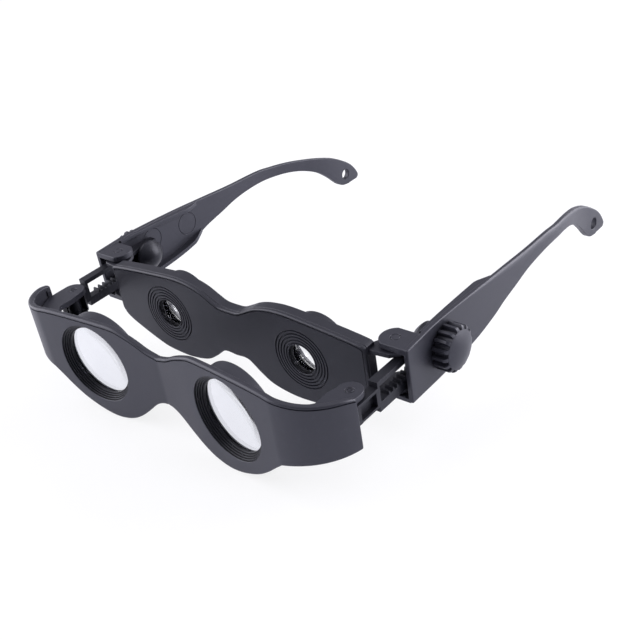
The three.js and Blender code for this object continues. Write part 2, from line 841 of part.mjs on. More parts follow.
const pairs = {
  temple: temple(),
  rack: rack(),
  pinion_shaft: pinion(),
  knob: knob(),
  inner_cap: innerCap(),
  front_pin: frontPin(),
  upper_hinge_pin: upperHingePin(),
  lower_hinge_pin: lowerHingePin(),
};
for (const [side, prefix] of [[1, 'left'], [-1, 'right']]) {
  for (const [name, solid] of Object.entries(pairs)) {
    add(`${prefix}_${name}`, side > 0 ? solid : mirrored(solid));
  }
  add(`${prefix}_objective_lens`, objectiveLens(side), clearGlass);
  add(`${prefix}_objective_ring`, objectiveRing(side));
  add(`${prefix}_eyepiece_lens`, eyepieceLens(side), clearGlass);
  add(`${prefix}_eyepiece_ring`, eyepieceRing(side));
}

// Origin at the middle of the foot of the whole object
const reach = new THREE.Box3().setFromObject(assembly);
const middle = reach.getCenter(new THREE.Vector3());
assembly.position.set(-middle.x, -middle.y, -reach.min.z);
assembly.updateMatrixWorld(true);

export default assembly;
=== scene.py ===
import math

import bmesh
import bpy
from mathutils import Matrix, Vector


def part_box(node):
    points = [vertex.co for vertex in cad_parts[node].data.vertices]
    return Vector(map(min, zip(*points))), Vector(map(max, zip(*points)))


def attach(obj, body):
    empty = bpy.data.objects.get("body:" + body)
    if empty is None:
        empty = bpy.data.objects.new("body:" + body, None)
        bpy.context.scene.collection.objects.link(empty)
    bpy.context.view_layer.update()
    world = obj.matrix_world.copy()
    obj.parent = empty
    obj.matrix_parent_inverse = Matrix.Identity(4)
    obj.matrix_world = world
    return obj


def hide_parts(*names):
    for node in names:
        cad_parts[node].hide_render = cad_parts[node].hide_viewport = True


# Binocular magnifying glasses in black moulded plastic.
# Sizes are in millimetres, counted from midway between the two objectives, until a piece is placed.

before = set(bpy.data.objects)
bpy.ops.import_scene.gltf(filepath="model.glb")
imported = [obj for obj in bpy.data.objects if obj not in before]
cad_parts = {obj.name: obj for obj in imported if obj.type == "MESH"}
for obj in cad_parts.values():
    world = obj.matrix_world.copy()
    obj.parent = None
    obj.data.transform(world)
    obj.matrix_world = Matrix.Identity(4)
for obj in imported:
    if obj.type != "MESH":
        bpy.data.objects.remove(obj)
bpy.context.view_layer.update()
print("frame loaded:", len(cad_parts), "nodes")

layout = {
    "lensSpacing": 62,
    "hingeSpacing": 127.3,
    "frameDistance": 34.9,
    "hingeSetback": 8.36,
    "focusTravel": 23.3,
    "gap": 0.3,
    "hingePinTop": 13.77,
}
lensX = layout["lensSpacing"] / 2
hingeX = layout["hingeSpacing"] / 2
frameY = layout["frameDistance"]
hingeY = frameY + layout["hingeSetback"]
frontPinY = hingeY - layout["focusTravel"]
gap = layout["gap"]

# The hinge pin says where the model stands in the frame
pinLow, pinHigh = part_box("left_upper_hinge_pin")
rowShift = Vector((0, (pinLow.y + pinHigh.y) / 2 - hingeY / 1000, pinHigh.z - layout["hingePinTop"] / 1000))
toRow = Matrix.Translation(rowShift) @ Matrix.Scale(0.001, 4)


def addObject(name, data):
    made = bpy.data.objects.new(name, data)
    bpy.context.scene.collection.objects.link(made)
    return made


# Camera

camera = {
    "place": (222.65, -149.797, 177.536),
    "right": (0.76637, 0.62645, -0.14224),
    "up": (-0.24208, 0.48673, 0.83934),
    "lens": 56.46,
    "sensor": 36,
    "nearest": 0.01,
}
right = Vector(camera["right"]).normalized()
up = Vector(camera["up"])
up = (up - right * up.dot(right)).normalized()
back = right.cross(up)
turn = Matrix((right, up, back)).transposed().to_4x4()
cameraData = bpy.data.cameras.new("camera")
cameraData.lens = camera["lens"]
cameraData.sensor_width = camera["sensor"]
cameraData.clip_start = camera["nearest"]
cameraObject = addObject("camera", cameraData)
cameraObject.matrix_world = Matrix.Translation(toRow @ Vector(camera["place"])) @ turn
bpy.context.scene.camera = cameraObject


# Making shapes

shaping = {
    "latheSides": 96,
    "boreSides": 48,
    "smallSides": 64,
    "edgeSteps": 4,
    "fewSteps": 3,
    "arcSteps": 24,
    "crownSteps": 12,
    "weld": 0.0005,
    "overlap": 0.02,
    "cutPast": 3,
}
overlap, cutPast = shaping["overlap"], shaping["cutPast"]
boreSides, smallSides = shaping["boreSides"], shaping["smallSides"]
fewSteps, arcSteps = shaping["fewSteps"], shaping["arcSteps"]


def asObject(name, points, faces, weld=0):
    mesh = bpy.data.meshes.new(name)
    mesh.from_pydata([tuple(p) for p in points], [], faces)
    work = bmesh.new()
    work.from_mesh(mesh)
    if weld:
        bmesh.ops.remove_doubles(work, verts=work.verts, dist=weld)
    bmesh.ops.recalc_face_normals(work, faces=work.faces)
    work.to_mesh(mesh)
    work.free()
    return addObject(name, mesh)


def smooth(t):
    return t * t * (3 - 2 * t)


def along(table, share):
    # height of a smooth line through a table of place and size
    last = len(table) - 1
    i = 0
    while i < last - 1 and share > table[i + 1][0]:
        i += 1

    def slope(k):
        before, after = table[max(k - 1, 0)], table[min(k + 1, last)]
        return (after[1] - before[1]) / (after[0] - before[0])

    (x0, y0), (x1, y1) = table[i], table[i + 1]
    step = x1 - x0
    t = min(max((share - x0) / step, 0), 1)
    bend = t * (1 - t) ** 2 * slope(i) + t * t * (t - 1) * slope(i + 1)
    return y0 + (y1 - y0) * smooth(t) + step * bend


def arc(u, v, radius, start, end, steps=shaping["edgeSteps"]):
    turns = [math.radians(start + (end - start) * i / steps) for i in range(steps + 1)]
    return [(u + radius * math.cos(a), v + radius * math.sin(a)) for a in turns]


def fillet(edge, steps=shaping["edgeSteps"]):
    # offsets along a quarter round, which goes from (edge, 0) to (0, edge)
    turns = [math.radians(90 * i / steps) for i in range(steps + 1)]
    return [(edge * (1 - math.sin(a)), edge * (1 - math.cos(a))) for a in turns]


def loft(name, rings):
    count = len(rings[0])
    points = [p for ring in rings for p in ring]
    faces = []
    for k in range(len(rings) - 1):
        for i in range(count):
            a, b = k * count + i, k * count + (i + 1) % count
            faces.append((a, b, b + count, a + count))
    faces.append(tuple(range(count)))
    faces.append(tuple((len(rings) - 1) * count + i for i in range(count)))
    return asObject(name, points, faces)


def lathe(name, profile, place, sides=shaping["latheSides"]):
    # a closed profile of radius and depth, turned about the depth axis, which is Y before it is placed
    points, rows = [], []
    for radius, depth in profile:
        turns = [2 * math.pi * i / sides for i in range(sides)] if radius else [0]
        rows.append(range(len(points), len(points) + len(turns)))
        points += [place @ Vector((radius * math.cos(a), depth, radius * math.sin(a))) for a in turns]
    solid = len(rows[0]) == 1 and len(rows[-1]) == 1
    faces = []
    for near, far in zip(rows, rows[1:] if solid else rows[1:] + rows[:1]):
        for i in range(sides):
            j = (i + 1) % sides
            if len(near) == 1 and len(far) > 1:
                faces.append((near[0], far[j], far[i]))
            elif len(far) == 1 and len(near) > 1:
                faces.append((near[i], near[j], far[0]))
            elif len(near) > 1:
                faces.append((near[i], near[j], far[j], far[i]))
    return asObject(name, points, faces)


slabTurns = {
    "z": Matrix(((1, 0, 0), (0, 1, 0), (0, 0, 1))),
    "x": Matrix(((0, 0, 1), (1, 0, 0), (0, 1, 0))),
}


def applied(shape):
    # the mesh that a curve or a modifier makes
    graph = bpy.context.evaluated_depsgraph_get()
    return bpy.data.meshes.new_from_object(shape.evaluated_get(graph))


def slab(name, outlines, low, high, edge, axis):
    # flat outlines, with or without holes, made thick along an axis, with all edges rounded
    curve = bpy.data.curves.new(name, "CURVE")
    curve.dimensions = "2D"
    curve.fill_mode = "BOTH"
    for outline in outlines:
        spline = curve.splines.new("POLY")
        spline.points.add(len(outline) - 1)
        for point, (u, v) in zip(spline.points, outline):
            point.co = (u, v, 0, 1)
        spline.use_cyclic_u = True
    curve.extrude = (high - low) / 2 - edge
    curve.bevel_depth = edge
    curve.bevel_resolution = 2
    curve.offset = -edge
    shape = addObject(name, curve)
    mesh = applied(shape)
    bpy.data.objects.remove(shape)
    middle = Vector((0, 0, (low + high) / 2))
    points = [slabTurns[axis] @ (v.co + middle) for v in mesh.vertices]
    return asObject(name, points, [tuple(p.vertices) for p in mesh.polygons], shaping["weld"])


def block(name, xs, ys, zs):
    points = [(x, y, z) for x in xs for y in ys for z in zs]
    faces = [(0, 1, 3, 2), (4, 6, 7, 5), (0, 4, 5, 1), (2, 3, 7, 6), (0, 2, 6, 4), (1, 5, 7, 3)]
    return asObject(name, points, faces)


def openEdges(mesh):
    work = bmesh.new()
    work.from_mesh(mesh)
    count = sum(1 for e in work.edges if not e.is_manifold)
    work.free()
    return count


def combine(shape, others, operation):
    for other in others:
        for solver in ("MANIFOLD", "EXACT"):
            step = shape.modifiers.new("combine", "BOOLEAN")
            step.operation = operation
            step.solver = solver
            step.object = other
            mesh = applied(shape)
            shape.modifiers.clear()
            if len(mesh.polygons) and not openEdges(mesh):
                break
            print("  retried", shape.name, other.name, solver, len(mesh.polygons), openEdges(mesh))
        shape.data = mesh
    for other in others:
        bpy.data.objects.remove(other)
    return shape


def join(shape, *others):
    return combine(shape, others, "UNION")


def cut(shape, *others):
    return combine(shape, others, "DIFFERENCE")


def alongX(x, y, z, way=1):
    return Matrix.Translation((x, y, z)) @ Matrix.Rotation(-way * math.pi / 2, 4, "Z")


def alongZ(x, y):
    return Matrix.Translation((x, y, 0)) @ Matrix.Rotation(math.pi / 2, 4, "X")


def facing(side, outline):
    # an outline drawn for the left side, or its mirror image
    return outline if side > 0 else [(-x, y) for x, y in reversed(outline)]


def mouthRound(radius, face, edge):
    return [(radius + out, face + down) for out, down in fillet(edge)]


def openEnd(radius, far, chamfer=0.3):
    # the chamfered far end of a bore's profile, past the face that it opens
    wide = radius + chamfer
    return [(radius, far - chamfer), (wide, far + overlap), (wide, far + cutPast), (0, far + cutPast)]


def hole(radius, low, high, place, edge, past=2):
    # a cutter for a round hole with rounded mouths at low and high
    near = mouthRound(radius, low - overlap, edge)
    far = [(r, high + low - d) for r, d in reversed(near)]
    wide = radius + edge
    profile = [(0, low - past), (wide, low - past), *near, *far, (wide, high + past), (0, high + past)]
    return lathe("hole", profile, place, boreSides)


def drill(radius, low, high, place):
    return lathe("drill", [(0, low), (radius, low), (radius, high), (0, high)], place, boreSides)


def disc(name, radius, low, high, place, edge, sides=boreSides):
    # a turned solid with rounded rims
    rim = [(radius - inwards, down) for down, inwards in fillet(edge)]
    top = [(r, high - d) for r, d in rim]
    bottom = [(r, low + d) for r, d in reversed(rim)]
    return lathe(name, [(0, low), *bottom, *top, (0, high)], place, sides)


def barrel(radius, near, far, edge, place, sides=shaping["latheSides"]):
    rim = [(radius - inwards, far - down) for down, inwards in fillet(edge, fewSteps)]
    return lathe("barrel", [(0, near), (radius, near), *rim, (0, far)], place, sides)


def ringShape(inner, outer, low, high, place, edge=0.15, flare=0):
    wide = inner + flare
    profile = [(inner + edge, low), (outer - edge, low), (outer, low + edge), (outer, high - edge),
               (outer - edge, high), (wide + edge, high), (wide, high - edge), (inner, low + edge)]
    return lathe("ring", profile, place)


def wallRing(x, y, inX, inY, wall, low, high, radius, inset=0, groove=None, crown=None):
    # corners of an upright strip's section, with its four long edges rounded
    near, far, foot, top = inset, wall - inset, low + inset, high - inset
    corners = [*arc(near + radius, foot + radius, radius, 180, 270),
               *arc(far - radius, foot + radius, radius, 270, 360),
               *arc(far - radius, top - radius, radius, 0, 90)]
    if crown:
        wide, tall = crown
        quarter = arc(0, 0, 1, 90, 180, shaping["crownSteps"])
        corners += [(near + wide * (1 + u), top - tall * (1 - v)) for u, v in quarter]
    else:
        corners += arc(near + radius, top - radius, radius, 90, 180)
    if groove:
        drop, width, depth = groove
        corners += [(near, top - drop), (near + depth, top - drop - width / 2), (near, top - drop - width)]
    return [(x + inX * depth, y + inY * depth, height) for depth, height in corners]


# Materials

class Channel:
    # a number socket that can stand in sums and products
    def __init__(self, paint, socket):
        self.paint = paint
        self.socket = socket

    def combined(self, operation, first, second):
        made = self.paint.node("ShaderNodeMath", {0: first, 1: second}, operation=operation)
        return Channel(self.paint, made.outputs[0])

    def __add__(self, other):
        return self.combined("ADD", self, other)

    def __radd__(self, other):
        return self.combined("ADD", other, self)

    def __sub__(self, other):
        return self.combined("SUBTRACT", self, other)

    def __mul__(self, other):
        return self.combined("MULTIPLY", self, other)

    def __rmul__(self, other):
        return self.combined("MULTIPLY", other, self)


class Paint:
    # the nodes of a material or of the world
    def __init__(self, owner):
        owner.use_nodes = True
        self.owner = owner
        self.tree = owner.node_tree

    def first(self, kind):
        return next(n for n in self.tree.nodes if n.type == kind)

    def node(self, kind, values=None, **settings):
        made = self.tree.nodes.new(kind)
        for key, value in settings.items():
            setattr(made, key, value)
        for key, value in (values or {}).items():
            self.feed(made.inputs[key], value)
        return made

    def feed(self, socket, value):
        if isinstance(value, Channel):
            value = value.socket
        elif isinstance(value, bpy.types.Node):
            value = value.outputs[0]
        if isinstance(value, bpy.types.NodeSocket):
            self.tree.links.new(value, socket)
        else:
            socket.default_value = value

    def set(self, **values):
        shader = self.first("BSDF_PRINCIPLED")
        for key, value in values.items():
            self.feed(shader.inputs[key.replace("_", " ")], value)

    def place(self):
        return self.node("ShaderNodeTexCoord").outputs["Object"]

    def noise(self, settings, where=None):
        scale, detail, roughness = settings
        values = {"Scale": scale, "Detail": detail, "Roughness": roughness, "Vector": where or self.place()}
        return Channel(self, self.node("ShaderNodeTexNoise", values).outputs["Fac"])

    def ramp(self, value, low, high):
        made = self.node("ShaderNodeValToRGB", {0: value})
        for stop, place in zip(made.color_ramp.elements, (low, high)):
            stop.position = place
        return Channel(self, made.outputs["Color"])

    def mix(self, amount, first, second):
        return self.node("ShaderNodeMix", {0: amount, 6: first, 7: second}, data_type="RGBA").outputs[2]

    def bump(self, height, distance, strength):
        return self.node("ShaderNodeBump", {"Height": height, "Distance": distance, "Strength": strength})

    def glow(self, colour):
        return self.node("ShaderNodeEmission", {"Color": colour, "Strength": 1})

    def blend(self, amount, first, second):
        return self.node("ShaderNodeMixShader", {0: amount, 1: first, 2: second})

    def directView(self, rays):
        # 1 for what the camera sees, also through a lens
        values = {0: rays.outputs["Is Camera Ray"], 1: rays.outputs["Is Transmission Ray"]}
        return Channel(self, self.node("ShaderNodeMath", values, operation="MAXIMUM").outputs[0])


def plastic(name, look):
    paint = Paint(bpy.data.materials.new(name))
    grain = paint.noise(look["grainNoise"])
    mottle = paint.noise(look["mottleNoise"])
    scuffs = paint.ramp(paint.noise(look["scuffNoise"]), *look["scuffBand"])
    stretched = paint.node("ShaderNodeMapping", {"Vector": paint.place(), "Scale": look["flow"]})
    flow = paint.noise(look["flowNoise"], stretched)
    base = paint.mix(mottle, look["dark"], look["light"])
    swing = look["roughnessSwing"] * (mottle + flow - 1)
    paint.set(
        Base_Color=paint.mix(scuffs * look["scuffShare"], base, look["scuffed"]),
        Roughness=look["roughness"] + swing + look["scuffRoughness"] * scuffs,
        Specular_IOR_Level=look["shine"],
        Specular_Tint=look["sheenTint"],
        Normal=paint.bump(grain + look["flowShare"] * flow, look["grainHeight"], look["grainStrength"]),
    )
    return paint.owner


def clearLens(name, look):
    paint = Paint(bpy.data.materials.new(name))
    smears = paint.ramp(paint.noise(look["smearNoise"]), *look["smearBand"])
    dust = paint.ramp(paint.noise(look["dustNoise"]), *look["dustBand"])
    marks = smears * look["smearShare"] + dust * look["dust"]
    paint.set(
        Base_Color=paint.mix(marks, look["tint"], look["smear"]),
        Roughness=look["roughness"] + look["haze"] * smears,
        Transmission_Weight=1,
        IOR=look["ior"],
    )
    return paint.owner


frameLook = {
    "dark": (0.0125, 0.0127, 0.018, 1),
    "light": (0.0178, 0.018, 0.0255, 1),
    "scuffed": (0.046, 0.047, 0.06, 1),
    "scuffNoise": (420, 5, 0.7),
    "scuffBand": (0.56, 0.72),
    "scuffShare": 0.22,
    "scuffRoughness": 0.06,
    "mottleNoise": (95, 3, 0.5),
    "flowNoise": (95, 2, 0.5),
    "flow": (1, 1, 0.25),
    "flowShare": 0.35,
    "grainNoise": (3800, 3, 0.6),
    "grainHeight": 0.00002,
    "grainStrength": 0.35,
    "roughness": 0.42,
    "roughnessSwing": 0.1,
    "shine": 0.54,
    "sheenTint": (0.89, 0.9, 1, 1),
}
# a darker copy of the frame plastic: painted shade for the rear frame, which sits behind the front frame
rearShadeLook = dict(
    frameLook, dark=(0.0092, 0.0094, 0.0136, 1), light=(0.0135, 0.0137, 0.0196, 1), shine=0.46)
# darker still: painted shade for the racks, which sit between the lugs and the temples
rackShadeLook = dict(
    rearShadeLook, dark=(0.006, 0.0062, 0.009, 1), light=(0.009, 0.0092, 0.0132, 1), shine=0.36)
armLook = dict(frameLook, flow=(1, 0.12, 1), roughness=0.44, grainStrength=0.4)
knobLook = dict(frameLook, grainNoise=(3000, 3, 0.6), grainStrength=0.5, shine=0.5)
# the inner caps take the racks' darker colours: painted shade on the caps, which face inwards
capShadeLook = dict(rackShadeLook, grainNoise=(3000, 3, 0.6), grainStrength=0.4)
pinLook = dict(frameLook, roughness=0.36, grainStrength=0.2)
# darker colours for the bore walls and the lens rings: painted shade in the recesses
recessShadeLook = dict(
    frameLook, dark=(0.006, 0.006, 0.0075, 1), light=(0.009, 0.009, 0.0115, 1),
    roughness=0.34, shine=0.3, scuffShare=0, grainStrength=0.05)
lensLook = {
    "tint": (0.87, 0.88, 0.93, 1),
    "smear": (0.82, 0.83, 0.9, 1),
    "smearNoise": (130, 4, 0.6),
    "smearBand": (0.5, 0.8),
    "smearShare": 0.5,
    "dust": 0.3,
    "dustNoise": (2600, 1, 0.5),
    "dustBand": (0.73, 0.78),
    "roughness": 0.01,
    "haze": 0.02,
    "ior": 1.49,
}
eyeLensLook = dict(
    lensLook, tint=(0.96, 0.965, 0.985, 1), smear=(0.92, 0.93, 0.97, 1),
    dust=0, roughness=0, haze=0.004)

framePlastic = plastic("satinMouldedPlastic", frameLook)
shadedRearPlastic = plastic("rearFrameShadedPlastic", rearShadeLook)
shadedRackPlastic = plastic("shadedRackPlastic", rackShadeLook)
shadedCapPlastic = plastic("shadedCapPlastic", capShadeLook)
armPlastic = plastic("templePlastic", armLook)
knobPlastic = plastic("knobPlastic", knobLook)
pinPlastic = plastic("pinPlastic", pinLook)
recessShadePlastic = plastic("shadedRecessPlastic", recessShadeLook)
lensGlass = clearLens("clearLens", lensLook)
eyeGlass = clearLens("clearEyeLens", eyeLensLook)
print("materials made")


# Placing finished pieces

creaseAngle = math.radians(29)


def shadeBores(mesh, seat, radius, start, material):
    # faces inside the two round bores take a darker colour, painted shade in the recess
    mesh.materials.append(material)
    for toBore in (seat(1).inverted(), seat(-1).inverted()):
        for face in mesh.polygons:
            local = toBore @ face.center
            if math.hypot(local.x, local.z) < radius and local.y > start:
                face.material_index = 1


def nodeName(name):
    # pieces are named after their nodes: leftInnerCap stands for left_inner_cap
    return "".join("_" + letter.lower() if letter.isupper() else letter for letter in name)


def finishPiece(shape, name, body, material, bores=None):
    mesh = shape.data
    mesh.materials.clear()
    mesh.materials.append(material)
    if bores:
        shadeBores(mesh, *bores)
    mesh.transform(toRow)
    mesh.shade_smooth()
    mesh.set_sharp_from_angle(angle=creaseAngle)
    shape.name = name
    mesh.name = name
    even = shape.modifiers.new("evenShading", "WEIGHTED_NORMAL")
    even.keep_sharp = True
    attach(shape, body)
    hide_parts(nodeName(name))
    print("  piece", name, len(mesh.polygons), "faces, open edges", openEdges(mesh))


def finishPair(shape, name, body, material):
    # the shape is the left one, on +X, and the right one is its mirror image
    other = addObject("other", shape.data.copy())
    other.data.transform(Matrix.Scale(-1, 4, (1, 0, 0)))
    other.data.flip_normals()
    for made, word in ((shape, "left"), (other, "right")):
        finishPiece(made, word + name, body.replace("*", word), material)


# Front frame with its stepped objective sockets

front = {
    "flat": 53,
    "wall": 2.2,
    "edge": 0.7,
    "top": 17.4,
    "bottom": 20.9,
    "vee": 5.2,
    "wingBottom": 5.2,
    "lip": 1.1,
    "lipHeight": 2.6,
    "lipInset": 0.2,
    "lipRun": (0.4, 2),
    "lipEdge": 0.25,
    "groove": (0.72, 0.44, 0.8),
    "topShares": [
        (0, 0.6), (0.09, 0.685), (0.165, 0.8), (0.245, 0.9), (0.33, 0.975), (0.45, 0.995), (0.57, 1),
        (0.81, 0.997), (0.93, 0.985), (1, 0.965)],
    "bottomShares": [
        (0, 0.373), (0.05, 0.39), (0.11, 0.465), (0.2, 0.66), (0.275, 0.81), (0.35, 0.92), (0.42, 0.976),
        (0.51, 1), (0.6, 0.966), (0.68, 0.9), (0.775, 0.79), (0.865, 0.63), (0.945, 0.455), (1, 0.34)],
    "wingTopShares": [(0, 0.965), (0.35, 0.89), (0.6, 0.845), (0.85, 0.795), (1, 0.73)],
    "wingPlan": [(0, 0), (0.53, 0.03), (0.9, 0.46), (1, 1)],
    "plateSteps": 112,
    "wingSteps": 28,
    "wingRound": 0.45,
    "wingLength": 25,
}
arms = {
    "length": 135.9,
    "offset": 7.74,
    "wall": 1.8,
    "edge": 0.5,
    "top": 14.4,
    "drop": 16.2,
    "tipEdge": 0.8,
    "tipRadius": 1.8,
    "tipShoulder": 20,
    "tipTurn": 57,
    "tipSteps": 16,
    "tipOverlap": 1.5,
    "tipHole": 2.3,
    "tipHoleEdge": 0.35,
    "tipHoleSetback": 1.7,
    "tipHoleRise": 5.3,
    "planShares": [
        (0, 1), (0.08, 0.96), (0.16, 0.935), (0.35, 0.9), (0.55, 0.84), (0.64, 0.78), (0.7, 0.68),
        (0.755, 0.51), (0.81, 0.3), (0.87, 0.08), (0.93, -0.05), (1, -0.1)],
    "topShares": [
        (0, 0.958), (0.06, 0.985), (0.11, 1), (0.17, 0.98), (0.285, 0.917), (0.4, 0.833), (0.515, 0.743),
        (0.64, 0.681), (0.695, 0.604), (0.755, 0.514), (0.81, 0.396), (0.87, 0.236), (0.93, 0.02),
        (0.965, -0.16), (1, -0.38)],
    "bottomShares": [
        (0, -0.327), (0.14, -0.34), (0.27, -0.265), (0.36, -0.117), (0.4, -0.012), (0.46, 0.1),
        (0.52, 0.216), (0.58, 0.272), (0.64, 0.284), (0.695, 0.247), (0.755, 0.167), (0.81, 0.03),
        (0.866, -0.21), (0.909, -0.51), (0.945, -0.82), (0.969, -0.95), (1, -1)],
    "wallShares": [(0, 1), (0.34, 1), (0.5, 1.25), (1, 1.35)],
    "crownWide": [(0, 0.5), (0.25, 0.5), (0.5, 1), (0.9, 0.9), (1, 0.8)],
    "crownTall": [(0, 0.5), (0.25, 0.5), (0.5, 3), (0.6, 3.4), (0.72, 2.6), (0.93, 1), (1, 0.8)],
    "earReach": 5.2,
    "earHalf": 4.72,
    "earTurn": 66,
    "upperEar": 2.1,
    "lowerEar": 1.55,
    "earEdge": 0.3,
    "flangePlate": 1.6,
    "upperFlange": (2.7, 4.4),
    "lowerFlange": (4.9, 4.9),
    "flangeEnd": 45.5,
    "flangeTaper": 6,
    "flangeGap": 0.9,
    "flangeRise": 1.15,
    "flangeEdge": 0.3,
    "flangeSteps": 24,
    "frontRound": 0.4,
    "steps": 110,
    "marks": [(82.2, 5.4, 4.5), (63.7, 7.1, 4.5)],
    "markLine": (0.14, 0.16, 0.5),
}
lugs = {
    "reach": 4.2,
    "lowerReach": 3,
    "plate": 2.05,
    "top": 9.47,
    "bottom": -1.85,
    "inner": 58.6,
    "flare": 2.2,
    "root": 10.3,
    "bore": 1.35,
    "mouth": 0.28,
    "edge": 0.22,
}
objective = {
    "bezel": 14.75,
    # depth at which the darker colour starts inside the bezel: painted shade
    "shadeStart": 0.1,
    "mouthEdge": 0.3,
    "mouthLead": 0.03,
    "step": 0.5,
    "stepDepth": 0.55,
    "stepEdge": 0.12,
    "steps": 4,
    "lip": 0.9,
    "sides": 128,
    "barrel": 16.3,
    "barrelWall": 1.6,
    "barrelStart": 1.1,
    "barrelDepth": 7.2,
    "barrelEdge": 0.35,
    "lensEdge": 1.5,
    "lensSteps": 14,
    "frontRise": 1.1,
    "backRise": 0.7,
    "retainer": 1.4,
    "flare": 1,
}
vee = math.radians(front["vee"])
wingEndX = hingeX + arms["offset"] - gap
wingEndY = hingeY - arms["earHalf"] - layout["focusTravel"] - 3 * gap


def plateY(x):
    return (lensX - abs(x)) * math.tan(vee)


def wingPoint(t):
    start = Vector((front["flat"], plateY(front["flat"])))
    span = Vector((wingEndX, wingEndY)) - start
    a, b, c, d = (start + Vector((u * span.x, v * span.y)) for u, v in front["wingPlan"])
    place = (1 - t) ** 3 * a + 3 * t * (1 - t) ** 2 * b + 3 * t * t * (1 - t) * c + t ** 3 * d
    run = 3 * ((1 - t) ** 2 * (b - a) + 2 * t * (1 - t) * (c - b) + t * t * (d - c))
    return place, run.normalized()


def frontShell():
    rings = []
    steps = front["plateSteps"]
    for i in range(-steps // 2, steps // 2 + 1):
        share = 2 * i / steps
        x = front["flat"] * share
        lean = 0 if i == 0 else math.copysign(vee, i)
        low = -front["bottom"] * along(front["bottomShares"], abs(share))
        high = front["top"] * along(front["topShares"], abs(share))
        rings.append((x, plateY(x), math.sin(lean), math.cos(lean), low, high, 0))
    startLow = front["bottom"] * front["bottomShares"][-1][1]
    stations = [(i / front["wingSteps"], 0) for i in range(1, front["wingSteps"])]
    rounding = fillet(front["wingRound"], fewSteps)
    stations += [(1 - left / front["wingLength"], inset) for left, inset in rounding]
    for share, inset in stations:
        place, run = wingPoint(share)
        low = -front["wingBottom"] - (startLow - front["wingBottom"]) * (1 - share) ** 4
        high = front["top"] * along(front["wingTopShares"], share)
        rings.append((place.x, place.y, -run.y, run.x, low, high, inset))
        rings.insert(0, (-place.x, place.y, run.y, run.x, low, high, inset))
    made = []
    for x, y, inX, inY, low, high, inset in rings:
        radius = front["edge"] - inset / 2
        made.append(wallRing(x, y, inX, inY, front["wall"], low, high, radius, inset, front["groove"]))
    return loft("frontShell", made)


def seatObjective(side):
    return Matrix.Translation((side * lensX, 0, 0)) @ Matrix.Rotation(-side * vee, 4, "Z")


lipDepth = objective["steps"] * objective["stepDepth"]
seatRadius = objective["barrel"] - objective["barrelWall"]
lensFront = lipDepth + objective["lip"] + gap


def objectiveBore(side):
    radius, edge, small = objective["bezel"], objective["mouthEdge"], objective["stepEdge"]
    profile = [(0, -cutPast), (radius + edge, -cutPast), *mouthRound(radius, -objective["mouthLead"], edge),
               (radius, objective["stepDepth"])]
    for i in range(1, objective["steps"] + 1):
        radius -= objective["step"]
        depth = i * objective["stepDepth"]
        run = objective["lip"] if i == objective["steps"] else objective["stepDepth"]
        profile += [(radius + small, depth), (radius, depth + small), (radius, depth + run)]
    profile += [(seatRadius, lipDepth + objective["lip"]), *openEnd(seatRadius, objective["barrelDepth"])]
    return lathe("bore", profile, seatObjective(side), objective["sides"])


def lug(side, reach, low, high):
    inner, flare, root = lugs["inner"], lugs["flare"], lugs["root"]
    wall = plateY(hingeX) + 2 * front["wall"]
    outline = [
        (hingeX + reach, wingEndY - front["wall"]),
        *arc(hingeX, frontPinY, reach, 0, 180, arcSteps),
        (inner, frontPinY - reach), (inner, root), (inner - flare, root - flare), (inner - flare, wall),
        (hingeX - front["wall"], wall),
    ]
    return slab("lug", [facing(side, outline)], low, high, lugs["edge"], "z")


def frontLip(side):
    high = front["top"] * front["wingTopShares"][-1][1] - front["edge"]
    inner, outer = wingEndX - front["wall"] - front["lip"], wingEndX - front["wall"] / 2
    near, far = (wingEndY - run for run in front["lipRun"])
    outline = facing(side, [(inner, far), (outer, far), (outer, near), (inner, near)])
    low, high = high - front["lipHeight"], high - front["lipInset"]
    return slab("lip", [outline], low, high, front["lipEdge"], "z")


def makeFrontFrame():
    extras, cutters = [], []
    for side in (1, -1):
        extras += [
            frontLip(side),
            lug(side, lugs["reach"], lugs["top"] - lugs["plate"], lugs["top"]),
            lug(side, lugs["lowerReach"], lugs["bottom"], lugs["bottom"] + lugs["plate"]),
            barrel(objective["barrel"], objective["barrelStart"], objective["barrelDepth"],
                   objective["barrelEdge"], seatObjective(side), objective["sides"]),
        ]
        pinPlace = alongZ(side * hingeX, frontPinY)
        cutters += [
            objectiveBore(side),
            hole(lugs["bore"], lugs["bottom"], lugs["top"], pinPlace, lugs["mouth"]),
        ]
    return cut(join(frontShell(), *extras), *cutters)


print("front frame")
# the objective bores take the darker colour, painted shade in the recess
finishPiece(makeFrontFrame(), "frontFrame", "front_frame", framePlastic,
            bores=(seatObjective, objective["bezel"] + overlap, objective["shadeStart"], recessShadePlastic))


# Lenses, each held by a ring behind it

lensSides = 480


def dome(radius, base, rise, steps):
    return [(radius * i / steps, base + rise * (1 - (i / steps) ** 2)) for i in range(steps + 1)]


def makeLenses(kind, size, seat, radius, near, ringRun, body, glass):
    back = near + size["lensEdge"]
    for side, word in ((1, "left"), (-1, "right")):
        faces = dome(radius, near, -size["frontRise"], size["lensSteps"])
        faces += dome(radius, back, size["backRise"], size["lensSteps"])[::-1]
        lens = lathe("lens", faces, seat(side), lensSides)
        finishPiece(lens, word + kind + "Lens", body, glass)
        ring = ringShape(radius - size["retainer"], radius, back + gap, back + gap + ringRun, seat(side),
                         flare=size["flare"])
        # the retaining ring takes the darker colour too, painted shade inside the barrel
        finishPiece(ring, word + kind + "Ring", body, recessShadePlastic)


ringRun = objective["barrelDepth"] - lensFront - objective["lensEdge"] - gap
makeLenses("Objective", objective, seatObjective, seatRadius - gap, lensFront, ringRun,
           "front_frame", lensGlass)


# Rear frame: tray, eyepiece barrels and hinge tongues

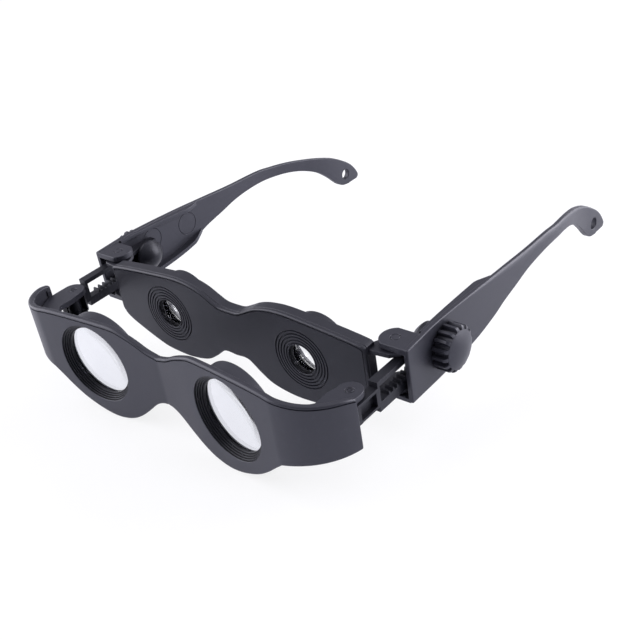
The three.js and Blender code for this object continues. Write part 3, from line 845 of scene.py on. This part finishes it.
rear = {
    "halfWidth": 58,
    "depth": 5.1,
    "plate": 2,
    "skirt": 1.9,
    "top": 15.9,
    "bottom": 16.6,
    "topShares": [
        (0, 0.61), (0.072, 0.63), (0.136, 0.735), (0.215, 0.874), (0.307, 0.962), (0.43, 1), (0.62, 0.956),
        (0.83, 0.887), (0.985, 0.815), (1, 0.78)],
    "bottomShares": [
        (0, 0.494), (0.095, 0.494), (0.18, 0.71), (0.25, 0.867), (0.32, 0.946), (0.43, 1), (0.52, 0.998),
        (0.64, 0.95), (0.757, 0.813), (0.874, 0.639), (0.935, 0.536), (0.985, 0.404), (1, 0.29)],
    "frontEdge": 0.6,
    "faceLine": (0.64, 1.02, 0.7),
    "backEdge": 0.25,
    "seam": 1.35,
    "seamLine": (0.14, 0.16),
    "steps": 150,
}
eyepiece = {
    "barrel": 11.8,
    "barrelStart": 1,
    "barrelEdge": 0.4,
    "wall": 1.3,
    "depth": 11.3,
    # radius and depth of the darker colour inside the eyepiece mouth: painted shade
    "shadeRadius": 5.55,
    "shadeStart": 0.3,
    "mouth": 5.45,
    "mouthEdge": 0.3,
    "mouthLead": 0.03,
    "throat": 5.1,
    "throatEdge": 0.2,
    "funnel": 2.1,
    "funnelWall": 1.2,
    "ledge": 1.1,
    "ledgeEdge": 0.1,
    "grooveOuter": 10.75,
    "groovePitch": 1.15,
    "grooveShape": (0.27, 0.15, 0.42),
    "grooves": 5,
    "lensEdge": 5.6,
    "lensSteps": 7,
    "frontRise": -0.2,
    "backRise": -1.2,
    "retainer": 1.2,
    "flare": 0,
}
tongues = {
    "plate": 1.6,
    "reach": 5,
    "front": 1.6,
    "rake": 1,
    "turn": 36,
    "pin": 1.3,
    "mouth": 0.2,
    "edge": 0.3,
}


def rearOutline(inset):
    half = rear["halfWidth"] - inset
    bevel = rear["topShares"][-2][0]
    steps = rear["steps"]
    shares = [-1, *[2 * i * bevel / steps for i in range(-steps // 2, steps // 2 + 1)], 1]
    ahead = 0.01

    def edge(size, table):
        made = []
        for share in shares:
            height = size * along(table, abs(share))
            slope = (size * along(table, abs(share) + ahead) - height) / (ahead * rear["halfWidth"])
            made.append((half * share, height - inset * math.hypot(1, slope)))
        return made

    bottom = [(x, -z) for x, z in edge(rear["bottom"], rear["bottomShares"])]
    return bottom + edge(rear["top"], rear["topShares"])[::-1]


def rearTray():
    last, depth, skirt, plate, seam = (rear[key] for key in ("backEdge", "depth", "skirt", "plate", "seam"))
    lineEdge, lineEnd, lineDepth = rear["faceLine"]
    seamHalf, seamDepth = rear["seamLine"]
    steps = [(lineEnd, 0), ((lineEdge + lineEnd) / 2, lineDepth), (lineEdge, 0), *fillet(rear["frontEdge"])]
    steps += [(0, seam - seamHalf), (seamDepth, seam), (0, seam + seamHalf)]
    steps += [(inset, depth - left) for left, inset in fillet(last, fewSteps)]
    steps += [(skirt - left, depth - fall) for left, fall in fillet(last, fewSteps)]
    steps += [(skirt, plate + last), (skirt + last, plate)]
    rings = []
    for i, (inset, place) in enumerate(steps):
        # the line in the face follows the top edge alone
        foot = 0 if i == 1 else place
        rings.append([(x, frameY + (place if z > 0 else foot), z) for x, z in rearOutline(inset)])
    return loft("rearTray", rings)


def seatEyepiece(side):
    return Matrix.Translation((side * lensX, frameY, 0))


eyeSeat = eyepiece["barrel"] - eyepiece["wall"]
eyeLensFront = eyepiece["funnel"] + gap
upperTongue = (lugs["top"] + gap, lugs["top"] + gap + tongues["plate"])
lowerTongue = (lugs["bottom"] - gap - tongues["plate"], lugs["bottom"] - gap)
upperEar = (upperTongue[1] + gap, upperTongue[1] + gap + arms["upperEar"])
lowerEar = (lowerTongue[0] - gap - arms["lowerEar"], lowerTongue[0] - gap)


def eyepieceBores(side):
    size, seat, plate = eyepiece, seatEyepiece(side), rear["plate"]
    mouth, throat, funnel, ledge = (size[key] for key in ("mouth", "throat", "funnel", "ledge"))
    edge, wall, small = size["mouthEdge"], size["funnelWall"], size["ledgeEdge"]
    radius = mouth - (mouth - throat) * ledge / funnel
    opening = [(0, -cutPast), (mouth + edge, -cutPast), *mouthRound(mouth, -size["mouthLead"], edge),
               (radius + small, ledge), (radius - small, ledge + small),
               *openEnd(throat, funnel, size["throatEdge"])]
    hollow = [(0, funnel), (throat + wall, funnel), (mouth + wall, plate), (eyeSeat, plate),
              *openEnd(eyeSeat, size["depth"])]
    cutters = [lathe("hollow", hollow, seat), lathe("funnel", opening, seat)]
    wide, narrow, deep = size["grooveShape"]
    for i in range(size["grooves"]):
        radius = size["grooveOuter"] - i * size["groovePitch"]
        groove = [(radius - wide, -cutPast), (radius - wide, -overlap), (radius - narrow, deep),
                  (radius + narrow, deep), (radius + wide, -overlap), (radius + wide, -cutPast)]
        cutters.append(lathe("groove", groove, seat))
    return cutters


def tongue(side, low, high):
    start = rear["halfWidth"] - rear["skirt"]
    frontEdge = frameY + tongues["front"]
    outline = [
        (start, frontEdge),
        (hingeX + tongues["pin"], frontEdge + tongues["rake"]),
        *arc(hingeX, hingeY, tongues["reach"], -tongues["turn"], 180 - tongues["turn"], arcSteps),
        (start, frameY + rear["depth"]),
    ]
    return slab("tongue", [facing(side, outline)], low, high, tongues["edge"], "z")


def hingeHole(side, low, high):
    return hole(tongues["pin"] + gap, low, high, alongZ(side * hingeX, hingeY), tongues["mouth"])


def makeRearFrame():
    tray = rearTray()
    extras, cutters = [], []
    for side in (1, -1):
        extras += [
            tongue(side, *upperTongue),
            tongue(side, *lowerTongue),
            barrel(eyepiece["barrel"], eyepiece["barrelStart"], eyepiece["depth"], eyepiece["barrelEdge"],
                   seatEyepiece(side)),
        ]
        cutters += [*eyepieceBores(side), hingeHole(side, *upperTongue), hingeHole(side, *lowerTongue)]
    return cut(join(tray, *extras), *cutters)


print("rear frame")
# the rear frame is painted darker than the front frame, as shade
finishPiece(makeRearFrame(), "rearFrame", "rear_frame", shadedRearPlastic,
            bores=(seatEyepiece, eyepiece["shadeRadius"], eyepiece["shadeStart"], recessShadePlastic))
makeLenses("Eyepiece", eyepiece, seatEyepiece, eyeSeat - gap, eyeLensFront, eyepiece["retainer"],
           "rear_frame", eyeGlass)


# Temples

armFront = hingeY - arms["earHalf"]
knobs = {
    "setback": 14,
    "height": 4.7,
    "radius": 7.7,
    "footRound": 0.3,
    "rim": 4.7,
    "dome": 2.2,
    "domeSteps": 40,
    "capTop": 6.45,
    "capFoot": 5.4,
    "capStep": (0.06, 0.08),
    "capPoint": (0.002, 0.2),
    "ribRound": 1.2,
    "ribTurn": 75,
    "ribShare": 0.75,
    "ribSteps": 8,
    "flutes": 16,
    "fluteDepth": 1.5,
    "fluteValley": 0.28,
    "fluteFlank": 0.5,
    "fluteSteps": 20,
    "capRadius": 5.8,
    "capRim": 1.2,
    "capEdge": 0.2,
    "capDome": 3.6,
    "capSteps": 24,
    "shaft": 1.6,
    "shaftEdge": 0.15,
    "holePast": 1.2,
    "bore": 1.9,
    "sink": 3.4,
    "gearEdge": 0.08,
    "toothHalves": (0.4, 0.2),
}
knobY = hingeY + knobs["setback"]
knobZ = knobs["height"]


def armAt(y):
    # the outer face, the wall, the lower and the upper edge at a place along the temple
    share = (y - armFront) / arms["length"]
    outer = hingeX + arms["offset"] * along(arms["planShares"], share)
    wall = arms["wall"] * along(arms["wallShares"], share)
    low = arms["drop"] * along(arms["bottomShares"], share)
    return outer, wall, low, arms["top"] * along(arms["topShares"], share)


def armWall():
    places = [(armFront + run, inset) for inset, run in fillet(arms["frontRound"], fewSteps)]
    places += [(armFront + arms["length"] * i / arms["steps"], 0) for i in range(1, arms["steps"] + 1)]
    rings = []
    for y, inset in places:
        outer, wall, low, high = armAt(y)
        share = (y - armFront) / arms["length"]
        crown = (along(arms["crownWide"], share), along(arms["crownTall"], share))
        edge = arms["edge"] - inset / 2
        rings.append(wallRing(outer, y, -1, 0, wall, low, high, edge, inset, crown=crown))
    return loft("arm", rings)


def flange(startReach, endReach, atTop):
    start = hingeY + arms["earHalf"] + arms["flangeGap"]
    end = hingeY + arms["flangeEnd"]
    steps, edge = arms["flangeSteps"], arms["flangeEdge"]
    rings = []
    for i in range(steps + 1):
        t = i / steps
        y = start + (end - start) * t
        outer, wall, low, high = armAt(y)
        reach = startReach + (endReach - startReach) * min(t * arms["flangeRise"], 1)
        leaving = max(0, (y - (end - arms["flangeTaper"])) / arms["flangeTaper"])
        reach += (wall + gap - reach) * leaving
        base = high - arms["flangePlate"] - gap if atTop else low
        top = base + arms["flangePlate"]
        inner, middle = outer - reach + edge, outer - wall / 2
        section = [*arc(inner, base + edge, edge, 180, 270, fewSteps), (middle, base + overlap),
                   (middle, top - overlap), *arc(inner, top - edge, edge, 90, 180, fewSteps)]
        rings.append([(x, y, z) for x, z in section])
    return loft("flange", rings)


def ear(low, high):
    root = armAt(hingeY)[0] - arms["wall"] / 2
    half, turn = arms["earHalf"], arms["earTurn"]
    outline = [(root, hingeY + half),
               *arc(hingeX, hingeY, arms["earReach"], 180 - turn, 180 + turn, arcSteps),
               (root, hingeY - half)]
    return slab("ear", [outline], low, high, arms["earEdge"], "z")


def mouldMark(y, z, radius):
    # a fine round line that an ejector pin leaves on the inner face
    outer, wall = armAt(y)[:2]
    ahead = armAt(y + 1)
    lean = math.atan((ahead[0] - ahead[1]) - (outer - wall))
    place = Matrix.Translation((outer - wall, y, z)) @ Matrix.Rotation(math.pi / 2 - lean, 4, "Z")
    half, deep, high = arms["markLine"]
    near, far = radius - half, radius + half
    groove = [(near, high), (near, 0), (radius, -deep), (far, 0), (far, high)]
    return lathe("mark", groove, place, smallSides)


def tipArcs(y, low, high):
    # the tip's back rounds down in a wide arc, which a small one at the heel carries round to the foot
    shoulder, radius, turn = arms["tipShoulder"], arms["tipRadius"], arms["tipTurn"]
    middleY = y - shoulder * math.cos(math.radians(turn))
    middleZ = high - shoulder * math.sin(math.radians(turn))
    span = shoulder - radius
    heelTurn = math.asin((low + radius - middleZ) / span)
    heelY = middleY + span * math.cos(heelTurn)
    heelTurn = math.degrees(heelTurn)
    return (arc(middleY, middleZ, shoulder, turn, heelTurn, arms["tipSteps"]),
            arc(heelY, low + radius, radius, heelTurn, -90, arms["tipSteps"]))


def makeTemple():
    endY = armFront + arms["length"]
    outer, wall, low, high = armAt(endY)
    back, heel = tipArcs(endY, low, high)
    start = endY - arms["tipOverlap"]
    foot, top = armAt(start)[2:]
    tip = slab("tip", [[(start, foot), (start, top), *back, *heel[1:], (endY, low)]],
               outer - wall, outer, arms["tipEdge"], "x")
    tipPlace = alongX(outer - wall, endY - arms["tipHoleSetback"], low + arms["tipHoleRise"])
    shaftPlace = alongX(armAt(knobY)[0] - arms["wall"], knobY, knobZ)
    whole = join(armWall(), tip, ear(*upperEar), ear(*lowerEar), flange(*arms["upperFlange"], True),
                 flange(*arms["lowerFlange"], False))
    tipHole = hole(arms["tipHole"], 0, wall, tipPlace, arms["tipHoleEdge"])
    shaftHole = hole(
        knobs["shaft"] + gap, 0, arms["wall"], shaftPlace, knobs["shaftEdge"], knobs["holePast"])
    marks = [mouldMark(*mark) for mark in arms["marks"]]
    return cut(whole, tipHole, shaftHole, hingeHole(1, *upperEar), hingeHole(1, *lowerEar), *marks)


print("temples")
finishPair(makeTemple(), "Temple", "*_temple", armPlastic)


# Racks

racks = {
    "placeShare": 0.9,
    "width": 3.4,
    "top": 9.2,
    "foot": -1.3,
    "rail": 1.8,
    "nose": 1,
    "stepY": 6.6,
    "eye": 3.6,
    "drift": 0.5,
    "tail": 2.2,
    "hookBore": 1.35,
    "heelRun": 7,
    "windowShare": 0.5,
    "teeth": 6,
    "phase": 1.5,
    "pitchRadius": 1.95,
    "rise": 0.55,
    "fall": 0.85,
    "tip": 0.5,
    "root": 1,
    "edge": 0.14,
}
rackOuter = hingeX + arms["offset"] * racks["placeShare"] - arms["wall"] - gap
rackInner = rackOuter - racks["width"]
toothPitch = 2 * math.pi * racks["pitchRadius"] / racks["teeth"]
pinionTip = racks["pitchRadius"] + racks["rise"]
slotRoot = knobZ - racks["pitchRadius"] - racks["fall"]
slotTop = knobZ + pinionTip + gap
slotBack = knobY + pinionTip + gap
rackStep = frontPinY + racks["stepY"]
slotFront = min(rackStep + racks["nose"], knobY - pinionTip - gap - layout["focusTravel"])
neckTop = lugs["top"] - lugs["plate"] - gap
neckFoot = lugs["bottom"] + lugs["plate"] + gap


def toothedSlot():
    tip = slotRoot + racks["fall"] + racks["rise"] - gap
    root, narrow = racks["root"], racks["tip"] / 2
    points = [(slotBack, slotTop), (slotBack, slotRoot)]
    for i in range(int((slotBack - slotFront) // toothPitch)):
        centre = knobY + toothPitch * (racks["phase"] - i)
        if slotFront + root <= centre <= slotBack - root:
            points += [(centre + root / 2, slotRoot), (centre + narrow, tip),
                       (centre - narrow, tip), (centre - root / 2, slotRoot)]
    return points + [(slotFront, slotRoot), (slotFront, slotTop)]


def makeRack():
    nose = frontPinY - racks["eye"]
    end = slotBack + racks["tail"]
    foot, top, rail, bore = racks["foot"], racks["top"], racks["rail"], racks["hookBore"]
    under = armAt(end + layout["focusTravel"])[2] + arms["flangePlate"] + gap
    side = [(nose, neckFoot), (rackStep, neckFoot), (rackStep, foot), (end - racks["heelRun"], foot),
            (end, max(foot, under)), (end, top), (rackStep, top), (rackStep, neckTop), (nose, neckTop)]
    bar = slab("rack", [side, toothedSlot()], rackInner, rackOuter, racks["edge"], "x")
    eyePlace = alongZ(hingeX, frontPinY)
    eye = disc("eye", racks["eye"], neckFoot, neckTop, eyePlace, racks["edge"], smallSides)
    window = block("window", (rackOuter - racks["width"] * racks["windowShare"], rackOuter + cutPast),
                   (nose + rail, rackStep - rail / 2), (neckFoot + rail / 2, neckTop - rail / 2))
    low, high = neckFoot - cutPast, neckTop + cutPast
    mouth = block("mouth", (hingeX - racks["eye"] - cutPast, hingeX),
                  (frontPinY - bore, frontPinY + bore + racks["drift"]), (low, high))
    return cut(join(bar, eye), window, mouth, drill(bore, low, high, eyePlace))


print("racks")
# the racks take the darker colours, painted shade
finishPair(makeRack(), "Rack", "*_rack", shadedRackPlastic)


# Pinions, knobs and inner caps

knobFoot = armAt(knobY)[0] + gap
capOuter = rackInner - gap


def makePinion():
    rootRadius = knobZ - (slotRoot + racks["fall"] + racks["rise"])
    wide, narrow = knobs["toothHalves"]
    tooth = ((rootRadius, -wide), (pinionTip, -narrow), (pinionTip, narrow), (rootRadius, wide))
    points = []
    for i in range(racks["teeth"]):
        centre = -math.pi / 2 + 2 * math.pi * i / racks["teeth"]
        for radius, half in tooth:
            a = centre + math.asin(half / radius)
            points.append((knobY + radius * math.cos(a), knobZ + radius * math.sin(a)))
    gear = slab("gear", [points], rackInner, rackOuter, knobs["gearEdge"], "x")
    foot = capOuter - knobs["capRim"] - gap
    length = knobFoot + knobs["sink"] - foot
    shaft = disc("shaft", knobs["shaft"], 0, length, alongX(foot, knobY, knobZ), knobs["shaftEdge"])
    return join(gear, shaft)


def flutedOutline(radius):
    # a smooth wave with flat crests and narrow valleys
    points = []
    count = knobs["flutes"] * knobs["fluteSteps"]
    for i in range(count):
        a = 2 * math.pi * i / count
        wave = 0.5 + 0.5 * math.cos(a * knobs["flutes"])
        rise = smooth(min(max((wave - knobs["fluteValley"]) / knobs["fluteFlank"], 0), 1))
        points.append((a, radius - knobs["fluteDepth"] * (1 - rise)))
    return points


def knobLevels():
    # heights and radii of the ribbed band, and of the plain cap that ends the flutes
    radius, cap, band, run = (knobs[key] for key in ("radius", "capTop", "capFoot", "ribRound"))
    turn = math.radians(knobs["ribTurn"])
    ribbed = [(height, radius - inset) for inset, height in fillet(knobs["footRound"], 2)]
    for i in range(knobs["ribSteps"] + 1):
        a = turn * i / knobs["ribSteps"]
        fall = (radius - cap) * (1 - math.cos(a)) / knobs["ribShare"]
        ribbed.append((band - run + run * math.sin(a) / math.sin(turn), radius - fall))
    stepIn, stepUp = knobs["capStep"]
    plain = [(band + overlap, cap - stepIn), (band + stepUp, cap)]
    rise = knobs["rim"] + knobs["dome"] - band - stepUp
    for i in range(2, knobs["domeSteps"]):
        share = i / knobs["domeSteps"]
        plain.append((band + stepUp + rise * share, cap * math.sqrt(1 - share)))
    drop, flat = knobs["capPoint"]
    plain.append((band + stepUp + rise - drop, flat))
    return ribbed, plain


def makeKnob():
    ribbed, plain = knobLevels()
    outline = flutedOutline(knobs["radius"])
    rings = []
    for height, most in ribbed:
        inset = knobs["footRound"] if height == 0 else 0
        rings.append([(height, a, min(wave - inset, most)) for a, wave in outline])
    rings += [[(height, a, most) for a, wave in outline] for height, most in plain]
    placed = [[(knobFoot + height, knobY + r * math.cos(a), knobZ + r * math.sin(a))
               for height, a, r in ring] for ring in rings]
    bore = drill(knobs["bore"], -cutPast, knobs["sink"] + gap, alongX(knobFoot, knobY, knobZ))
    return cut(loft("knob", placed), bore)


def makeInnerCap():
    radius, rim, edge = knobs["capRadius"], knobs["capRim"], knobs["capEdge"]
    place = alongX(capOuter, knobY, knobZ, -1)
    profile = [(0, 0), (radius - edge, 0), (radius, edge)]
    profile += dome(radius, rim, knobs["capDome"], knobs["capSteps"])[::-1]
    return cut(lathe("cap", profile, place), drill(knobs["bore"], -cutPast, rim + 2 * gap, place))


print("knobs")
finishPair(makePinion(), "PinionShaft", "*_knob", pinPlastic)
finishPair(makeKnob(), "Knob", "*_knob", knobPlastic)
# the inner caps take the darker colours, painted shade
finishPair(makeInnerCap(), "InnerCap", "*_knob", shadedCapPlastic)


# Pins

pins = {
    "frontRadius": 1.24,
    "dimple": 0.62,
    "dimpleHalf": 0.12,
    "dimpleDepth": 0.25,
    "dimpleEdge": 0.02,
    "hingeRadius": 1.47,
    "edge": 0.2,
}


def makeFrontPin():
    place, top = alongZ(hingeX, frontPinY), lugs["top"]
    pin = disc("pin", pins["frontRadius"], lugs["bottom"], top, place, pins["edge"])
    inner, outer = pins["dimple"] - pins["dimpleHalf"], pins["dimple"] + pins["dimpleHalf"]
    return cut(pin, ringShape(inner, outer, top - pins["dimpleDepth"], top + 1, place, pins["dimpleEdge"]))


def finishHingePin(word, low, high):
    pin = disc("pin", pins["hingeRadius"], low, high, alongZ(hingeX, hingeY), pins["edge"])
    finishPair(pin, word + "HingePin", "rear_frame", pinPlastic)


print("pins")
finishPair(makeFrontPin(), "FrontPin", "front_frame", pinPlastic)
finishHingePin("Upper", upperTongue[0] + gap / 2, upperEar[1])
finishHingePin("Lower", lowerEar[0], lowerTongue[1] - gap / 2)


# Floor and lights

studio = {
    "floorHalf": 3,
    "floorDrop": 0.0002,
    "floorColour": (0.84, 0.85, 0.9, 1),
    "floorCloud": (0.88, 0.89, 0.92, 1),
    "cloudNoise": (6, 2, 0.5),
    "floorRoughness": 0.9,
    "floorGlow": 0.8,
    "glossGlow": 0.3,
    "glossTint": (0.87, 0.87, 0.98, 1),
    "white": (1, 1, 1, 1),
    "world": (0.76, 0.755, 0.835, 1),
    "worldStrength": 0.55,
    "aim": (0, 0, 0.02),
    "lampColour": (0.97, 0.955, 1),
    "lamps": [
        ("sideBox", (-0.75, -0.45, 0.45), 1.3, 17.5),
        ("farBox", (0.36, 0.46, 0.2), 0.6, 7.2),
        ("topBox", (0.05, 0.3, 0.9), 1.2, 2.4),
    ],
}


def makeFloor():
    half = studio["floorHalf"]
    corners = [(-half, -half, 0), (half, -half, 0), (half, half, 0), (-half, half, 0)]
    floor = asObject("floor", corners, [(0, 1, 2, 3)])
    floor.location.z = -studio["floorDrop"]
    paint = Paint(bpy.data.materials.new("paleFloor"))
    cloud = paint.noise(studio["cloudNoise"])
    paint.set(
        Base_Color=paint.mix(cloud, studio["floorColour"], studio["floorCloud"]),
        Roughness=studio["floorRoughness"],
    )
    # the floor glows a little in glossy plastic, and white where the camera sees it
    rays = paint.node("ShaderNodeLightPath")
    mirrored = Channel(paint, rays.outputs["Is Glossy Ray"]) * studio["glossGlow"]
    dimmed = paint.blend(mirrored, paint.first("BSDF_PRINCIPLED"), paint.glow(studio["glossTint"]))
    seen = paint.directView(rays) * studio["floorGlow"]
    mixed = paint.blend(seen, dimmed, paint.glow(studio["white"]))
    paint.feed(paint.first("OUTPUT_MATERIAL").inputs["Surface"], mixed)
    floor.data.materials.append(paint.owner)


def makeWorld():
    paint = Paint(bpy.data.worlds.new("softRoom"))
    bpy.context.scene.world = paint.owner
    paint.tree.nodes.clear()
    rays = paint.node("ShaderNodeLightPath")
    values = {"Color": studio["world"], "Strength": studio["worldStrength"]}
    room = paint.node("ShaderNodeBackground", values)
    white = paint.node("ShaderNodeBackground", {"Color": studio["white"]})
    mixed = paint.blend(paint.directView(rays), room, white)
    paint.node("ShaderNodeOutputWorld", {"Surface": mixed})


def makeLamps():
    for name, place, size, power in studio["lamps"]:
        data = bpy.data.lights.new(name, "AREA")
        data.shape = "SQUARE"
        data.size = size
        data.energy = power
        data.color = studio["lampColour"]
        lamp = addObject(name, data)
        lamp.location = place
        lamp.rotation_euler = (Vector(studio["aim"]) - Vector(place)).to_track_quat("-Z", "Y").to_euler()


makeFloor()
makeWorld()
makeLamps()
bpy.context.scene.view_settings.view_transform = "Standard"
print("studio ready")
